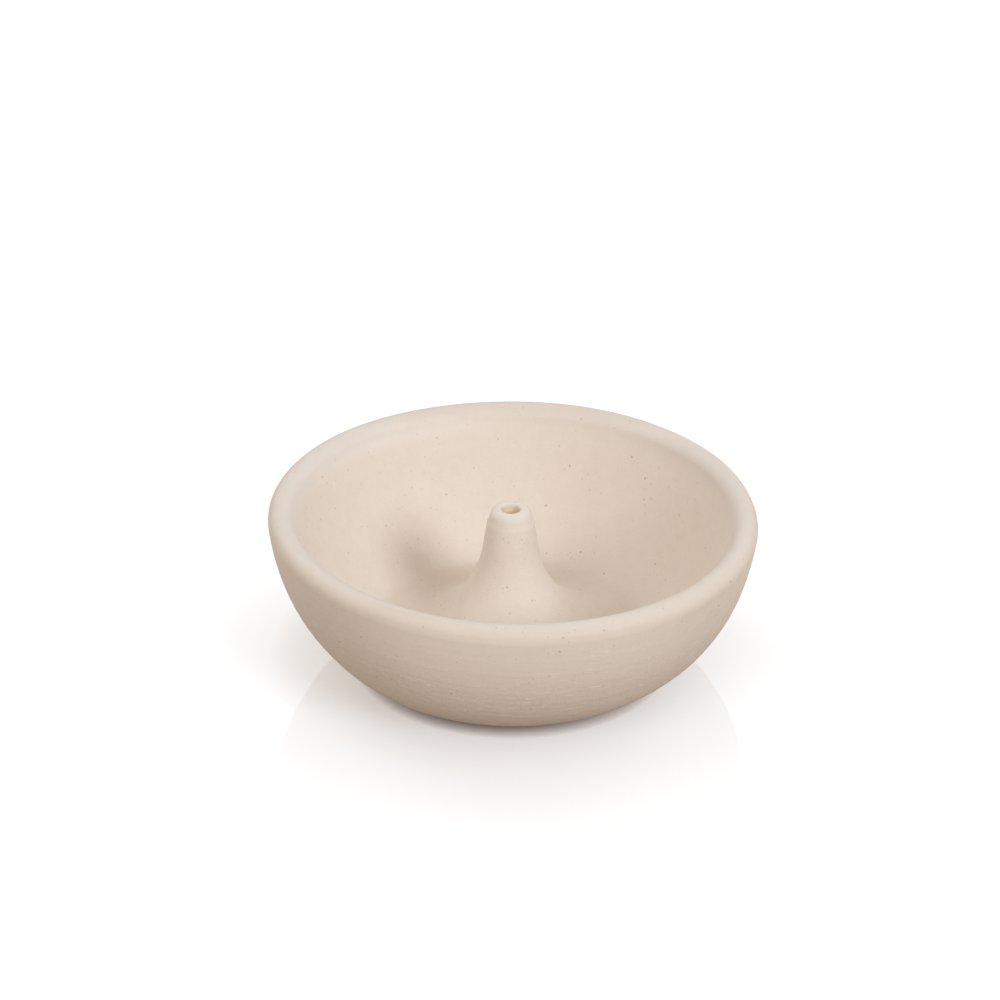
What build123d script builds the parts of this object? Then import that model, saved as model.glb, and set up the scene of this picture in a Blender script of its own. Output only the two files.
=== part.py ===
from build123d import *
import math
import os

# A hand-thrown stoneware incense stick holder: a small round bowl with a tapered post standing in
# its middle. The post is stuck into a seat in the bowl's floor with slip, and a coil of soft clay is
# smoothed around its foot into a wide flare. Millimetres, +Z up, origin under the middle of the foot.

# Sizes of the bowl
outer_diameter = 100.0
bowl_height = 34.7
foot_diameter = 48.0
lip_width = 5.2
floor_thickness = 6.5

# How far both walls still lean outwards where they meet the lip, in degrees
rim_lean = 8.0

# How far each end of the outer and the inner wall curve keeps its direction, as shares of its run
outer_foot_share = 0.28
outer_rim_share = 0.70
inner_floor_share = 0.35
inner_rim_share = 0.50

# Sizes of the post, whose height is counted from the bowl's floor
post_height = 28.2
post_tip_diameter = 8.7
post_root_diameter = 11.6
tip_rounding = 2.2
bore_diameter = 3.8
bore_depth = 18.0
mouth_rounding = 0.5

# Sizes of the joint between the post and the bowl
coil_height = 18.8
key_depth = 0.5
seat_depth = 2.0
slip_thickness = 0.4

# Radii and heights that several pieces share
outer_radius = outer_diameter / 2
foot_radius = foot_diameter / 2
lip_radius = lip_width / 2
tip_radius = post_tip_diameter / 2
root_radius = post_root_diameter / 2
bore_radius = bore_diameter / 2
stem_radius = root_radius - key_depth
seat_radius = stem_radius + slip_thickness
tip_top = floor_thickness + post_height
root_height = floor_thickness + coil_height
key_floor = floor_thickness - key_depth
seat_floor = key_floor - seat_depth
stem_foot = seat_floor + slip_thickness

# The coil's flare is one arc, tangent to the post's taper at the top and to the floor at the bottom
taper_angle = math.atan2(root_radius - tip_radius, post_height - coil_height)
flare_radius = coil_height / (1 - math.sin(taper_angle))
coil_radius = root_radius + flare_radius * math.cos(taper_angle)


def at(radius, height):
    """A point of a section, in the plane through the axis."""
    return Vector(radius, 0, height)


def chain(*points):
    """Straight edges from point to point."""
    return [Line(start, end) for start, end in zip(points, points[1:])]


def turned(section):
    """The solid that a closed section sweeps in one turn about the axis."""
    return revolve(make_face(section), Axis.Z)


def make_bowl():
    """Flat foot, full round wall and lip, and a floor keyed for the coil and sunk for the post."""
    lean = math.radians(rim_lean)
    up_the_wall = at(math.sin(lean), math.cos(lean))
    out_of_the_wall = at(math.cos(lean), -math.sin(lean))
    lip_centre = at(outer_radius - lip_radius, bowl_height - lip_radius)
    outer_rim = lip_centre + lip_radius * out_of_the_wall
    inner_rim = lip_centre - lip_radius * out_of_the_wall
    outer_wall = Bezier(
        at(foot_radius, 0),
        at(foot_radius + outer_foot_share * (outer_radius - foot_radius), 0),
        outer_rim - outer_rim_share * lip_centre.Z * up_the_wall,
        outer_rim,
    )
    lip = ThreePointArc(outer_rim, lip_centre + lip_radius * up_the_wall, inner_rim)
    inner_wall = Bezier(
        inner_rim,
        inner_rim - inner_rim_share * (lip_centre.Z - floor_thickness) * up_the_wall,
        at(coil_radius + inner_floor_share * (inner_rim.X - coil_radius), floor_thickness),
        at(coil_radius, floor_thickness),
    )
    seat = chain(
        at(coil_radius, floor_thickness),
        at(coil_radius, key_floor),
        at(seat_radius, key_floor),
        at(seat_radius, seat_floor),
        at(0, seat_floor),
        at(0, 0),
        at(foot_radius, 0),
    )
    return turned([outer_wall, lip, inner_wall, *seat])


def make_stick_post():
    """Straight stem in the seat, a shoulder over the coil, a taper, a round tip and a blind bore."""
    tip_corner = at(tip_radius, tip_top)
    mouth_corner = at(bore_radius, tip_top)
    section = make_face(chain(
        at(0, stem_foot),
        at(stem_radius, stem_foot),
        at(stem_radius, root_height),
        at(root_radius, root_height),
        tip_corner,
        mouth_corner,
        at(bore_radius, tip_top - bore_depth),
        at(0, tip_top - bore_depth),
        at(0, stem_foot),
    )).face()
    for corner, rounding in ((tip_corner, tip_rounding), (mouth_corner, mouth_rounding)):
        vertex = section.vertices().sort_by_distance(corner)[0]
        section = section.fillet_2d(rounding, [vertex])
    return revolve(section, Axis.Z)


def make_luting_slip():
    """The thin cup of slip that bonds the post's stem into its seat."""
    return turned(chain(
        at(0, seat_floor),
        at(seat_radius, seat_floor),
        at(seat_radius, key_floor),
        at(stem_radius, key_floor),
        at(stem_radius, stem_foot),
        at(0, stem_foot),
        at(0, seat_floor),
    ))


def make_fillet_coil():
    """The coil around the post's foot, pressed under the shoulder and into the keyed floor."""
    middle_angle = math.pi + (taper_angle + math.pi / 2) / 2
    flare_centre = at(coil_radius, floor_thickness + flare_radius)
    flare = ThreePointArc(
        at(root_radius, root_height),
        flare_centre + flare_radius * at(math.cos(middle_angle), math.sin(middle_angle)),
        at(coil_radius, floor_thickness),
    )
    rest = chain(
        at(coil_radius, floor_thickness),
        at(coil_radius, key_floor),
        at(stem_radius, key_floor),
        at(stem_radius, root_height),
        at(root_radius, root_height),
    )
    return turned([flare, *rest])


pieces = {
    "bowl": make_bowl(),
    "stick_post": make_stick_post(),
    "luting_slip": make_luting_slip(),
    "fillet_coil": make_fillet_coil(),
}
os.makedirs("parts", exist_ok=True)
for node, shape in pieces.items():
    export_step(shape, f"parts/{node}.step")
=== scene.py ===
import math

import bpy
import numpy as np
from mathutils import Matrix, Vector


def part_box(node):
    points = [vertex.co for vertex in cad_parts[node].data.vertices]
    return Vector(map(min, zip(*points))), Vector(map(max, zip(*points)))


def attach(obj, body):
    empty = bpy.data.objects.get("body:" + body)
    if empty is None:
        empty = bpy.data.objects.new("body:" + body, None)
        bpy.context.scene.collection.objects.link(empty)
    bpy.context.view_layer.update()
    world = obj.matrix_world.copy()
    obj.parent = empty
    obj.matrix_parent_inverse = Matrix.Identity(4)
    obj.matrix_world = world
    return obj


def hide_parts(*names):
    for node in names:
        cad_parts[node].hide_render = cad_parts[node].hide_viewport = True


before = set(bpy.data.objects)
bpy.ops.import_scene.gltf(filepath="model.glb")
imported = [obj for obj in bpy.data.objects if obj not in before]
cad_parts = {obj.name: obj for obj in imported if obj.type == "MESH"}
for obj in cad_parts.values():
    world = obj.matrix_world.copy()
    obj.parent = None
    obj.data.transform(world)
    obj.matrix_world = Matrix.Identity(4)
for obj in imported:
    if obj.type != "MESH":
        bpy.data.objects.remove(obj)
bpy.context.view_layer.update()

# The bowl is a small dish, thrown on the wheel from pale stoneware with iron specks in it.
# Its foot is trimmed flat, its thick lip is rounded with a wet sponge, and it is fired once, unglazed.
bowl_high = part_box("bowl")[1]
coil_low, coil_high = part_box("fillet_coil")
slip_low, slip_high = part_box("luting_slip")
outer_radius = bowl_high.x
bowl_height = bowl_high.z
foot_radius = 0.024
lip_radius = 0.0026
rim_lean = math.radians(8)
key_depth = 0.0005
floor_height = coil_low.z + key_depth
outer_foot_share = 0.28
outer_rim_share = 0.70
inner_floor_share = 0.35
inner_rim_share = 0.50
ring_step = 0.00032
hidden_step = 0.002
turn_steps = 288
turn = np.linspace(0, 2 * math.pi, turn_steps, endpoint=False)[None, :]
crease_angle = math.radians(40)


def straight(start, end, step=ring_step):
    """Points from start up to end, which the next stretch begins with."""
    count = max(1, round(math.dist(start, end) / step))
    shares = np.linspace(0, 1, count, endpoint=False)[:, None]
    return (1 - shares) * np.array(start) + shares * np.array(end)


def bow(start, start_pull, end_pull, end):
    """Points along a cubic curve that leaves start towards start_pull and reaches end from end_pull."""
    rough_length = 1.15 * math.dist(start, end)
    t = np.linspace(0, 1, round(rough_length / ring_step), endpoint=False)[:, None]
    corners = [np.array(corner) for corner in (start, start_pull, end_pull, end)]
    weights = ((1 - t) ** 3, 3 * (1 - t) ** 2 * t, 3 * (1 - t) * t ** 2, t ** 3)
    return sum(weight * corner for weight, corner in zip(weights, corners))


def rounding(centre, radius, first, last, step=ring_step):
    """Points along an arc about centre, from the angle first up to the angle last."""
    count = max(6, round(abs(last - first) * radius / step))
    angles = np.linspace(first, last, count, endpoint=False)
    return np.array(centre) + radius * np.stack([np.cos(angles), np.sin(angles)], axis=1)


def lengths_along(profile):
    """How far along the profile each of its points lies."""
    steps = np.linalg.norm(np.diff(profile, axis=0), axis=1)
    return np.concatenate([[0], np.cumsum(steps)])


def ease(value, low, high):
    """0 below low, 1 above high and a smooth rise between."""
    share = np.clip((value - low) / (high - low), 0, 1)
    return share * share * (3 - 2 * share)


def band(value, start, full, fade, end):
    """A smooth rise from start to full, 1 up to fade and a smooth fall down to end."""
    return ease(value, start, full) * (1 - ease(value, fade, end))


def hump(value, middle, reach):
    """1 at middle, 0 from reach away and a smooth fall between."""
    return np.cos(np.clip((value - middle) / reach, -1, 1) * math.pi / 2) ** 2


def ripple(along, spacing, shift):
    """Rings at that spacing along the profile, shifted by an angle that may change with the turn."""
    return np.sin(2 * math.pi * along / spacing + shift)


def throw(name, profile, swell, rise=0.0, tilt=0.0, closed_ring=False, **marks):
    """A closed mesh of the profile turned about the axis. swell moves each point along the profile's
    normal and rise lifts it, both as rows by turn; tilt leans rows towards +X, in radians; marks are
    values that its finish reads, as rows by turn or one to a row."""
    if closed_ring:
        ahead, behind = np.roll(profile, -1, axis=0), np.roll(profile, 1, axis=0)
    else:
        ahead = np.concatenate([profile[1:], profile[-1:]])
        behind = np.concatenate([profile[:1], profile[:-1]])
    run = ahead - behind
    normal = np.stack([run[:, 1], -run[:, 0]], axis=1)
    normal /= np.linalg.norm(normal, axis=1)[:, None]
    radius = profile[:, :1] + normal[:, :1] * swell
    height = profile[:, 1:] + normal[:, 1:] * swell + rise
    sideways = radius * np.cos(turn)
    rings = np.stack([sideways + tilt * height, radius * np.sin(turn), height - tilt * sideways], axis=2)
    on_axis = profile[:, 0] < 1e-9
    points, first = [], []
    for ring, pole in zip(rings, on_axis):
        first.append(len(points))
        points.extend([ring.mean(axis=0)] if pole else ring)
    faces = []
    pairs = list(zip(range(len(rings) - 1), range(1, len(rings))))
    if closed_ring:
        pairs.append((len(rings) - 1, 0))
    for low, high in pairs:
        for step in range(turn_steps):
            after = (step + 1) % turn_steps
            if on_axis[low]:
                face = (first[low], first[high] + after, first[high] + step)
            elif on_axis[high]:
                face = (first[low] + step, first[low] + after, first[high])
            else:
                face = (first[low] + step, first[low] + after, first[high] + after, first[high] + step)
            faces.append(face)
    mesh = bpy.data.meshes.new(name)
    mesh.from_pydata([tuple(point) for point in points], [], faces)
    for mark, values in marks.items():
        rows = np.broadcast_to(values, radius.shape)
        spread = np.concatenate([row[:1] if pole else row for row, pole in zip(rows, on_axis)])
        mesh.attributes.new(mark, "FLOAT", "POINT").data.foreach_set("value", spread.astype(np.float32))
    mesh.shade_smooth()
    mesh.set_sharp_from_angle(angle=crease_angle)
    piece = bpy.data.objects.new(name, mesh)
    bpy.context.scene.collection.objects.link(piece)
    return piece


up_the_wall = np.array([math.sin(rim_lean), math.cos(rim_lean)])
out_of_the_wall = np.array([math.cos(rim_lean), -math.sin(rim_lean)])
lip_centre = np.array([outer_radius - lip_radius, bowl_height - lip_radius])
outer_rim = lip_centre + lip_radius * out_of_the_wall
inner_rim = lip_centre - lip_radius * out_of_the_wall
coil_edge = (coil_high.x, floor_height)
outer_wall = bow(
    (foot_radius, 0),
    (foot_radius + outer_foot_share * (outer_radius - foot_radius), 0),
    outer_rim - outer_rim_share * lip_centre[1] * up_the_wall,
    outer_rim,
)
lip = rounding(lip_centre, lip_radius, -rim_lean, math.pi - rim_lean)
inner_wall = bow(
    inner_rim,
    inner_rim - inner_rim_share * (lip_centre[1] - floor_height) * up_the_wall,
    (coil_edge[0] + inner_floor_share * (inner_rim[0] - coil_edge[0]), floor_height),
    coil_edge,
)
bowl_profile = np.concatenate([
    straight((0, 0), (foot_radius, 0), hidden_step),
    outer_wall,
    lip,
    inner_wall,
    straight(coil_edge, (coil_edge[0], coil_low.z)),
    straight((coil_edge[0], coil_low.z), (slip_high.x, coil_low.z), hidden_step),
    straight((slip_high.x, coil_low.z), (slip_high.x, slip_low.z)),
    straight((slip_high.x, slip_low.z), (0, slip_low.z), hidden_step),
    [(0, slip_low.z)],
])
along = lengths_along(bowl_profile)[:, None]
profile_height = bowl_profile[:, 1:]
wall_foot = foot_radius
wall_top = wall_foot + lengths_along(outer_wall)[-1]
lip_end = wall_top + math.pi * lip_radius
floor_edge = lip_end + lengths_along(inner_wall)[-1]
right_side, back_side = np.cos(turn), np.sin(turn)

# Faint rings that the fingers leave on the outer and the inner wall
outer_ring_height = 0.000010
inner_ring_height = 0.000004
outer_rings = band(along, wall_foot + 0.001, wall_foot + 0.006, wall_top - 0.004, wall_top)
inner_rings = band(along, lip_end, lip_end + 0.004, floor_edge - 0.006, floor_edge - 0.001)
ring_wave = (
    ripple(along, 0.0031, turn + 1.5 * np.sin(turn + 70 * along))
    + 0.7 * ripple(along, 0.0019, turn + 1.2 * np.sin(2 * turn + 1))
)
finger_rings = (outer_ring_height * outer_rings + inner_ring_height * inner_rings) * ring_wave


def up_the_lip(degrees):
    """How far along the profile the lip's round has turned up to that angle above the level."""
    return wall_top + lip_radius * (math.radians(degrees) + rim_lean)


# In front the lip is pressed flat outside with a soft edge above, and it is thicker at the front right.
# The wall swells a little below the lip on the inside and at the belly on the right.
lip_flat_depth = 0.00006
lip_edge_height = 0.00018
lip_thickness_gain = 0.00025
under_lip_swell = 0.0008
belly_swell = 0.00035
flat_reach = lip_radius * math.radians(25)
edge_reach = lip_radius * math.radians(60)
thick_side = np.cos(turn + math.radians(48))
lip_flat = -lip_flat_depth * ease(-back_side, 0.70, 0.97) * hump(along, up_the_lip(21), flat_reach)
lip_edge = lip_edge_height * ease(-back_side, 0.0, 0.6) * hump(along, up_the_lip(68), edge_reach)
lip_thick = lip_thickness_gain * ease(thick_side, 0.5, 0.97) * hump(along, up_the_lip(120), edge_reach)
fullest = lip_end + 0.008
under_lip = under_lip_swell * band(along, lip_end - 0.0020, fullest, fullest, floor_edge - 0.006)
belly = belly_swell * band(along, wall_foot + 0.002, wall_foot + 0.014, wall_top - 0.016, wall_top)
belly = belly * (1 + right_side) / 2

# The slight lean and sway of a wall thrown by hand on a level foot, with a dip at the back of its rim
lean_angle = math.radians(0.9)
dip_depth = 0.00045
knoll_height = 0.00025
sway = ease(profile_height, 0.010, bowl_height)
sway = sway * band(along, wall_foot, wall_foot + 0.012, floor_edge - 0.006, floor_edge - 0.002)
wall_lean = lean_angle * ease(profile_height, 0, 0.012)
wall_lean = wall_lean * (1 - ease(along, floor_edge - 0.012, floor_edge - 0.002))
rim_sway = sway * (0.00010 * np.cos(2 * turn + 3.81) + 0.00003 * np.cos(3 * turn + 2.2))
back_dip = dip_depth * hump(turn, math.radians(103), math.radians(52))
right_knoll = knoll_height * hump(turn, math.radians(28), math.radians(26))
rim_lift = sway * (
    0.00015 * np.cos(2 * turn - 0.955) + 0.00003 * np.cos(3 * turn + 0.3) - back_dip + right_knoll
)

# Marks that the finish reads, placed in metres along the profile: where the lip is wiped with a sponge
# and carries a painted cool sheen; painted shade on the lip's outer turn and low on the wall by the foot,
# with a real stain; painted light on a band inside under the lip; and the trimmed, scratched wall
at_front = ease(-back_side, 0.2, 0.7)
at_back = ease(back_side, 0.55, 0.95)
at_left = ease(-right_side, 0.7, 0.98)
# The sponge-wiped band on the lip, which also carries a painted cool sheen, weaker at the back
wiped_start = wall_top + 0.0026 + 0.0010 * at_front
wiped = band(along, wiped_start, wiped_start + 0.0024, lip_end - 0.0020, lip_end + 0.0055)
# Painted shade over the lip's outer turn, reaching further in front and at the back
pressed_end = wall_top + 0.0020 + 0.0018 * at_front + 0.0040 * at_back
pressed = band(along, wall_top - 0.0008, wall_top + 0.0012, pressed_end, pressed_end + 0.0022)
stain = hump(turn, math.radians(243), math.radians(16)) * hump(along, wall_top + 0.0040, 0.0013)
# Painted shade low on the outer wall, near where it meets the table
raw_foot = 1 - ease(along, wall_foot + 0.014, wall_foot + 0.024)
# Painted light on a band at the lip's inner edge and just under it, mostly on the left, lifting the shade
# there
pale = hump(along, lip_end + 0.0016 - 0.0010 * at_left, 0.0030 + 0.0012 * at_left)
below_the_lip = ease(along, wall_top - 0.014, wall_top - 0.006)
on_the_lip = ease(along, wall_top - 0.002, wall_top + 0.0008)
bowl = throw(
    "bowl_thrown",
    bowl_profile,
    finger_rings + lip_flat + lip_edge + lip_thick + under_lip + belly + rim_sway,
    rim_lift,
    wall_lean,
    along=along,
    wiped=wiped * (1 - 0.6 * at_back),
    pressed=pressed * (1 + at_back) + 1.3 * stain + 2.2 * raw_foot,
    pale=pale * (0.20 + 0.80 * ease(-right_side, -0.2, 0.5)),
    trimmed=1 - ease(along, wall_top - 0.020, wall_top - 0.002),
    scratched=1 - 0.65 * below_the_lip - 0.35 * on_the_lip,
)

clay_colour = (0.715, 0.625, 0.540, 1)
deep_clay_colour = (0.60, 0.505, 0.415, 1)
wiped_colour = (0.605, 0.545, 0.495, 1)
pale_colour = (0.80, 0.73, 0.665, 1)
speck_colour = (0.20, 0.115, 0.07, 1)
drag_colour = (0.86, 0.78, 0.70, 1)
bore_colour = (0.84, 0.70, 0.50, 1)


def node_words(tree):
    """Short words for one finish: add makes a node and feed fills its inputs, by name or as i and their
    number; sums is arithmetic, span maps a range and tint lays a share of one colour over another."""

    def add(kind, **settings):
        node = tree.nodes.new(kind)
        for setting, value in settings.items():
            setattr(node, setting, value)
        return node

    def feed(node, **inputs):
        for name, value in inputs.items():
            socket = node.inputs[int(name[1:])] if name[1:].isdigit() else node.inputs[name.replace("_", " ")]
            if isinstance(value, bpy.types.NodeSocket):
                tree.links.new(value, socket)
            else:
                socket.default_value = value
        return node

    def sums(operation, first, second):
        return feed(add("ShaderNodeMath", operation=operation), i0=first, i1=second).outputs[0]

    def span(value, low, high, to_low=0.0, to_high=1.0, rise="SMOOTHSTEP"):
        node = add("ShaderNodeMapRange", interpolation_type=rise)
        feed(node, Value=value, From_Min=low, From_Max=high, To_Min=to_low, To_Max=to_high)
        return node.outputs[0]

    def tint(share, under, over):
        return feed(add("ShaderNodeMix", data_type="RGBA"), i0=share, i6=under, i7=over).outputs[2]

    return add, feed, sums, span, tint


def stoneware_finish():
    """Unglazed clay body: cloudy tint, fine grain, iron specks, throwing lines and trimming scratches,
    with painted sheen, shade and light laid over it where the marks say.
    """
    finish = bpy.data.materials.new("stoneware")
    finish.use_nodes = True
    add, feed, sums, span, tint = node_words(finish.node_tree)
    place = add("ShaderNodeTexCoord").outputs["Object"]
    mark_names = ("along", "wiped", "pressed", "pale", "trimmed", "scratched", "pierced")
    marks = {name: add("ShaderNodeAttribute", attribute_name=name).outputs["Fac"] for name in mark_names}

    def times(first, second):
        return sums("MULTIPLY", first, second)

    def cloud(scale, detail, vector=place):
        return feed(add("ShaderNodeTexNoise"), Vector=vector, Scale=scale, Detail=detail).outputs["Fac"]

    def strokes(around, up, detail):
        """A cloud drawn out along the turn, with its own scale around the axis and along the profile."""
        level = feed(add("ShaderNodeVectorMath", operation="MULTIPLY"), i0=place, i1=(around, around, 0))
        upward = feed(add("ShaderNodeCombineXYZ"), Z=times(marks["along"], up))
        both = feed(add("ShaderNodeVectorMath", operation="ADD"), i0=level.outputs[0], i1=upward.outputs[0])
        return cloud(1.0, detail, both.outputs[0])

    def specks(spacing, size, share):
        """Dots one to a cell of that spacing, in that share of the cells, of random size up to size."""
        cells = feed(add("ShaderNodeTexVoronoi"), Vector=place, Scale=1 / spacing, Randomness=1.0)
        chance = feed(add("ShaderNodeSeparateColor"), Color=cells.outputs["Color"])
        reach = span(chance.outputs[0], 0.0, 1.0, 0.35, 1.0)
        distance = times(cells.outputs["Distance"], spacing / size)
        dot = span(sums("DIVIDE", distance, reach), 0.25, 1.0, 1.0, 0.0)
        chosen = sums("LESS_THAN", chance.outputs[1], share)
        return times(dot, chosen)

    patches = cloud(45.0, 2.0)
    mottle = cloud(420.0, 4.0)
    grain = cloud(2600.0, 2.0)
    lines = strokes(28, 900.0, 3.0)
    drags = times(span(strokes(400, 3200.0, 2.0), 0.56, 0.70), marks["scratched"])
    big_specks = specks(0.0026, 0.00040, 0.55)
    small_specks = specks(0.0013, 0.00027, 0.60)
    sand = sums("ADD", times(marks["trimmed"], 0.55), 0.20)
    bare = span(marks["wiped"], 0.0, 1.0, 1.0, 0.25)

    # Colours laid over the clay one after the other, each with its share
    layers = (
        (span(patches, 0.3, 0.7, 0.0, 0.12), deep_clay_colour),
        (span(mottle, 0.35, 0.75, 0.0, 0.14), deep_clay_colour),
        (times(span(grain, 0.35, 0.70), sand), deep_clay_colour),
        (times(span(lines, 0.35, 0.70, 0.0, 0.22), marks["scratched"]), deep_clay_colour),
        # Painted shade on the lip's outer turn and by the foot, with the real stain, laid on in deeper clay
        (times(marks["pressed"], 0.30), deep_clay_colour),
        # The wiped lip, with a painted cool sheen on it
        (times(marks["wiped"], 0.60), wiped_colour),
        # Painted light at the lip's inner edge and on the post's tip
        (times(marks["pale"], 0.32), pale_colour),
        (times(drags, 0.50), drag_colour),
        # Painted warm light inside the bore of the post
        (times(marks["pierced"], 0.65), bore_colour),
        (times(times(small_specks, 0.32), bare), speck_colour),
        (times(times(big_specks, 0.50), bare), speck_colour),
    )
    colour = clay_colour
    for share, over in layers:
        colour = tint(share, colour, over)

    # Heights of the fine roughness in metres, with the specks as pits
    reliefs = (
        (mottle, 0.000012),
        (times(lines, marks["scratched"]), 0.000022),
        (drags, 0.000040),
        (big_specks, -0.000014),
    )
    relief = times(grain, 0.000010)
    for rough, height in reliefs:
        relief = sums("ADD", relief, times(rough, height))
    bump = feed(add("ShaderNodeBump"), Height=relief, Strength=1.0, Distance=1.0)
    roughness = sums("SUBTRACT", span(mottle, 0.3, 0.7, 0.76, 0.86), times(marks["wiped"], 0.14))
    shader = finish.node_tree.nodes["Principled BSDF"]
    feed(shader, Base_Color=colour, Roughness=roughness, Specular_IOR_Level=0.40, Normal=bump.outputs[0])
    return finish


stoneware = stoneware_finish()
bowl.data.materials.append(stoneware)
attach(bowl, "root")
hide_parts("bowl")

# The stick post is thrown apart from the same clay as a tapered peg. A stick-sized hole is pierced
# down its middle while it is soft, and its straight stem is set into the seat in the bowl's floor.
post_low, post_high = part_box("stick_post")
root_radius = post_high.x
root_height = coil_high.z
tip_height = post_high.z
tip_radius = 0.00435
tip_rounding = 0.0022
bore_radius = 0.0019
bore_depth = 0.018
mouth_rounding = 0.0005
stem_radius = root_radius - key_depth
taper_angle = math.atan2(root_radius - tip_radius, tip_height - root_height)
post_step = 0.00015
mouth_step = 0.00008
bore_step = 0.0005

tip_centre = (
    tip_radius + (tip_rounding * math.sin(taper_angle) - tip_rounding) / math.cos(taper_angle),
    tip_height - tip_rounding,
)
mouth_centre = (bore_radius + mouth_rounding, tip_height - mouth_rounding)
taper_end = np.array(tip_centre) + tip_rounding * np.array([math.cos(taper_angle), math.sin(taper_angle)])
tip_edge = (tip_centre[0], tip_height)
mouth_edge = (mouth_centre[0], tip_height)
bore_mouth = (bore_radius, mouth_centre[1])
bore_floor = tip_height - bore_depth
post_profile = np.concatenate([
    straight((0, post_low.z), (stem_radius, post_low.z), hidden_step),
    straight((stem_radius, post_low.z), (stem_radius, root_height), hidden_step),
    straight((stem_radius, root_height), (root_radius, root_height)),
    straight((root_radius, root_height), taper_end, post_step),
    rounding(tip_centre, tip_rounding, taper_angle, math.pi / 2, post_step),
    straight(tip_edge, mouth_edge, post_step),
    rounding(mouth_centre, mouth_rounding, math.pi / 2, math.pi, mouth_step),
    straight(bore_mouth, (bore_radius, bore_floor), bore_step),
    straight((bore_radius, bore_floor), (0, bore_floor), bore_step),
    [(0, bore_floor)],
])
along = lengths_along(post_profile)[:, None]
taper_start = stem_radius + (root_height - post_low.z) + (root_radius - stem_radius)
taper_stop = taper_start + math.dist((root_radius, root_height), taper_end)
mouth_stop = taper_stop + tip_rounding * (math.pi / 2 - taper_angle) + mouth_rounding * math.pi / 2

# Faint rings on the taper, a shoulder worn round, and a tip that is wiped as the lip is,
# with a painted highlight and sheen on it
post_ring_height = 0.000004
shoulder_depth = 0.00025
shoulder_reach = 0.0018
tip_wipe_share = 0.60
post_strokes_start = 0.2
post_rings = band(along, taper_start, taper_start + 0.003, taper_stop, taper_stop + 0.003)
post_wave = ripple(along, 0.0017, turn + np.sin(turn + 1)) + 0.6 * ripple(along, 0.0011, 2 - turn)
shoulder_wear = shoulder_depth * hump(along, taper_stop + 0.0002, shoulder_reach)
tip_wipe = band(along, taper_stop - 0.001, taper_stop + 0.002, mouth_stop - 0.0004, mouth_stop + 0.0004)
post = throw(
    "stick_post_pierced",
    post_profile,
    post_ring_height * post_rings * post_wave - shoulder_wear,
    along=along + post_strokes_start,
    wiped=tip_wipe_share * tip_wipe,
    pale=tip_wipe_share * tip_wipe,
    # Painted warm light down the bore, from just inside its mouth
    pierced=ease(along, mouth_stop - 0.0003, mouth_stop + 0.0008),
)
post.data.materials.append(stoneware)
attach(post, "root")
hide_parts("stick_post")

# The luting slip is liquid clay brushed into the seat, which bonds the stem there when it is fired.
# It lies wholly inside the joint, so its CAD solid stays and only takes a finish.
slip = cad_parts["luting_slip"]
slip_grain_scale = 900
slip_roughness = 0.85


def slip_finish():
    """Fired slip: the same clay without its specks, a little darker and chalky."""
    finish = bpy.data.materials.new("fired_slip")
    finish.use_nodes = True
    add, feed, _, _, tint = node_words(finish.node_tree)
    place = add("ShaderNodeTexCoord").outputs["Object"]
    grain = feed(add("ShaderNodeTexNoise"), Vector=place, Scale=slip_grain_scale).outputs["Fac"]
    shader = finish.node_tree.nodes["Principled BSDF"]
    feed(shader, Base_Color=tint(grain, deep_clay_colour, clay_colour), Roughness=slip_roughness)
    return finish


slip.data.materials.clear()
slip.data.materials.append(slip_finish())

# The fillet coil is a roll of soft clay pressed into the corner between the post and the floor.
# It is smoothed out with a finger and a sponge until it flares from one into the other with no edge.
flare_radius = (root_height - floor_height) / (1 - math.sin(taper_angle))
flare_centre = (coil_edge[0], floor_height + flare_radius)
coil_profile = np.concatenate([
    straight((stem_radius, root_height), (stem_radius, coil_low.z), hidden_step),
    straight((stem_radius, coil_low.z), (coil_edge[0], coil_low.z), hidden_step),
    straight((coil_edge[0], coil_low.z), coil_edge),
    rounding(flare_centre, flare_radius, 1.5 * math.pi, math.pi + taper_angle),
    straight((root_radius, root_height), (stem_radius, root_height)),
])
along = lengths_along(coil_profile)[:, None]
coil_ring_height = 0.000004
coil_strokes_start = 0.4
flare_start = (root_height - coil_low.z) + (coil_edge[0] - stem_radius) + key_depth
flare_stop = flare_start + flare_radius * (math.pi / 2 - taper_angle)
coil_rings = band(along, flare_start, flare_start + 0.004, flare_stop - 0.004, flare_stop)
coil_wave = ripple(along, 0.0029, turn) + 0.6 * ripple(along, 0.0017, -turn)
coil = throw(
    "fillet_coil_smoothed",
    coil_profile,
    coil_ring_height * coil_rings * coil_wave,
    closed_ring=True,
    along=along + coil_strokes_start,
)
coil.data.materials.append(stoneware)
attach(coil, "root")
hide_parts("fillet_coil")

# The table is a polished sheet of milky plastic, lit from below until it looks white.
# It mirrors the bowl a little and keeps the lamps' soft shadow. Its glow is darkened and tinted warm
# near the foot and on the side away from the key light: a painted shadow, deepest where the foot touches.
table_size = 3.0
table_colour = (0.40, 0.40, 0.40, 1)
bounce_colour = (0.43, 0.33, 0.25, 1)
white = (1, 1, 1, 1)
table_roughness = 0.03
table_gloss = 0.75
near_glow, far_glow = 0.55, 0.63
glow_start, glow_full = 0.042, 0.070
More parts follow.
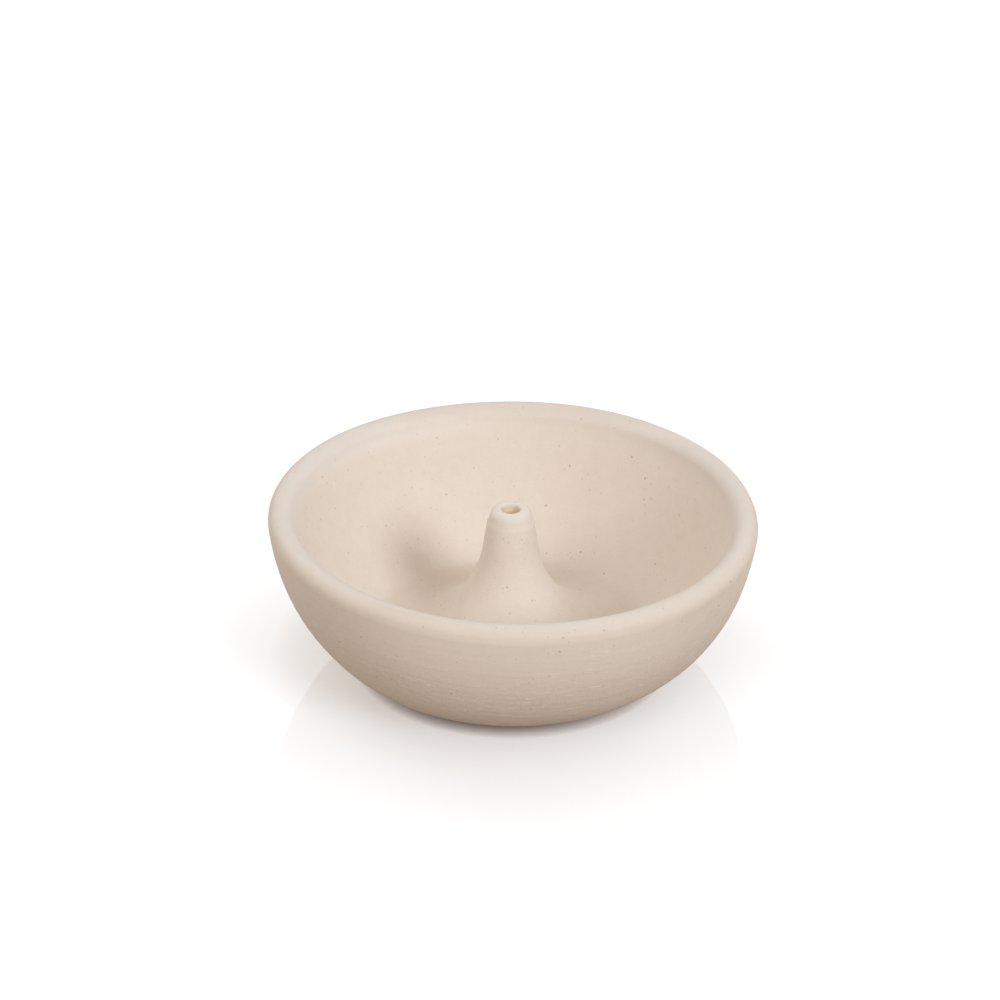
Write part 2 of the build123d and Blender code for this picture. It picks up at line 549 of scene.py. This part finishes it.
# The painted shadow on the glow: its reach and warm colour by the foot, and its reach, depth and direction
shade_reach = 0.0026
shade_colour = (1.0, 0.83, 0.71, 1)
side_reach = 0.014
side_share = 0.38
lit_side = (0.70, -0.60, 0.38)
sky_samples = 6
table_mesh = bpy.data.meshes.new("table")
half = table_size / 2
table_mesh.from_pydata(
    [(-half, -half, 0), (half, -half, 0), (half, half, 0), (-half, half, 0)], [], [(0, 1, 2, 3)]
)
table = bpy.data.objects.new("table", table_mesh)
bpy.context.scene.collection.objects.link(table)


def seen_directly(add, sums):
    """1 for what the camera sees, also in a mirror or through glass, and 0 for light on its way."""
    path = add("ShaderNodeLightPath").outputs
    seen = path["Is Camera Ray"]
    for kind in ("Is Glossy Ray", "Is Transmission Ray"):
        seen = sums("MAXIMUM", seen, path[kind])
    return seen


def sheet_finish():
    """Polished sheet with a white glow that only the eye sees, so that it adds no light to the bowl,
    darkened into a painted shadow near the bowl.
    """
    finish = bpy.data.materials.new("white_sheet")
    finish.use_nodes = True
    add, feed, sums, span, tint = node_words(finish.node_tree)
    seen = seen_directly(add, sums)
    place = add("ShaderNodeTexCoord").outputs["Object"]
    from_middle = feed(add("ShaderNodeVectorMath", operation="LENGTH"), i0=place).outputs["Value"]
    to_right, to_back, upward = lit_side
    to_lit_side = feed(add("ShaderNodeCombineXYZ"), X=to_right, Y=to_back, Z=upward).outputs[0]
    # Painted shadow: the glow is cut where the bowl hides the sky near the foot and towards the key light
    sky = add("ShaderNodeAmbientOcclusion", samples=sky_samples)
    open_sky = feed(sky, Distance=shade_reach).outputs["AO"]
    sky = add("ShaderNodeAmbientOcclusion", samples=sky_samples)
    side_sky = feed(sky, Distance=side_reach, Normal=to_lit_side).outputs["AO"]
    side_level = span(side_sky, 0.0, 1.0, 1 - side_share, 1.0, rise="LINEAR")
    glow = span(from_middle, glow_start, glow_full, near_glow, far_glow)
    for level in (open_sky, side_level, seen):
        glow = sums("MULTIPLY", glow, level)
    feed(
        finish.node_tree.nodes["Principled BSDF"],
        Base_Color=tint(seen, bounce_colour, table_colour),
        Roughness=table_roughness,
        Specular_IOR_Level=table_gloss,
        Emission_Color=tint(sums("MULTIPLY", open_sky, side_sky), shade_colour, white),
        Emission_Strength=glow,
    )
    return finish


table_mesh.materials.append(sheet_finish())

# The lamps are far softboxes: a key on the right and a weaker fill on the left in front, and two behind.
# All stand about 35 degrees up, and an even room that looks white lights what they leave dark.
def softbox(name, azimuth, elevation, breadth, strength, colour):
    """A far round lamp in that direction, as broad in degrees as it looks from the bowl."""
    lamp = bpy.data.lights.new(name, "SUN")
    lamp.angle = math.radians(breadth)
    lamp.energy = strength
    lamp.color = colour
    holder = bpy.data.objects.new(name, lamp)
    level = math.cos(math.radians(elevation))
    direction = Vector((
        level * math.sin(math.radians(azimuth)),
        -level * math.cos(math.radians(azimuth)),
        math.sin(math.radians(elevation)),
    ))
    holder.location = direction
    holder.rotation_euler = direction.to_track_quat("Z", "Y").to_euler()
    bpy.context.scene.collection.objects.link(holder)


softbox("key_light", 38, 32, 20, 1.65, (0.83, 0.91, 1.0))
softbox("fill_light", 332, 36, 28, 0.72, (0.87, 0.94, 1.0))
softbox("back_left_light", 225, 35, 30, 0.75, (0.86, 0.95, 1.0))
softbox("back_right_light", 135, 35, 30, 0.50, (0.80, 0.92, 1.0))
room_strength = 0.57
room_colour = (1.0, 0.89, 0.81, 1)
room = bpy.data.worlds.new("white_room")
room.use_nodes = True
bpy.context.scene.world = room
add, feed, sums, span, tint = node_words(room.node_tree)
room_seen = seen_directly(add, sums)
feed(
    room.node_tree.nodes["Background"],
    Strength=span(room_seen, 0.0, 1.0, room_strength, 1.0, rise="LINEAR"),
    Color=tint(room_seen, room_colour, white),
)

# The camera stands in front of the bowl, about 29 degrees above the table and tipped by half a degree.
# It is far off with a long lens, so that the back of the rim looks hardly smaller than the front.
sight_height = 0.0323
sight_distance = 0.8955
sight_elevation = math.radians(28.7)
sight_roll = math.radians(0.48)
sensor_width = 36
lens_length = 158.1
aim_right = -0.00220
aim_up = 0.00381

camera = bpy.data.objects.new("camera", bpy.data.cameras.new("camera"))
camera.data.sensor_width = sensor_width
camera.data.lens = lens_length
away = Vector((0, -math.cos(sight_elevation), math.sin(sight_elevation)))
facing = away.to_track_quat("Z", "Y").to_matrix() @ Matrix.Rotation(sight_roll, 3, "Z")
aim = Vector((0, 0, sight_height)) + facing @ Vector((aim_right, aim_up, 0))
camera.matrix_world = Matrix.Translation(aim + sight_distance * away) @ facing.to_4x4()
bpy.context.scene.collection.objects.link(camera)
bpy.context.scene.camera = camera
bpy.context.scene.view_settings.view_transform = "Standard"
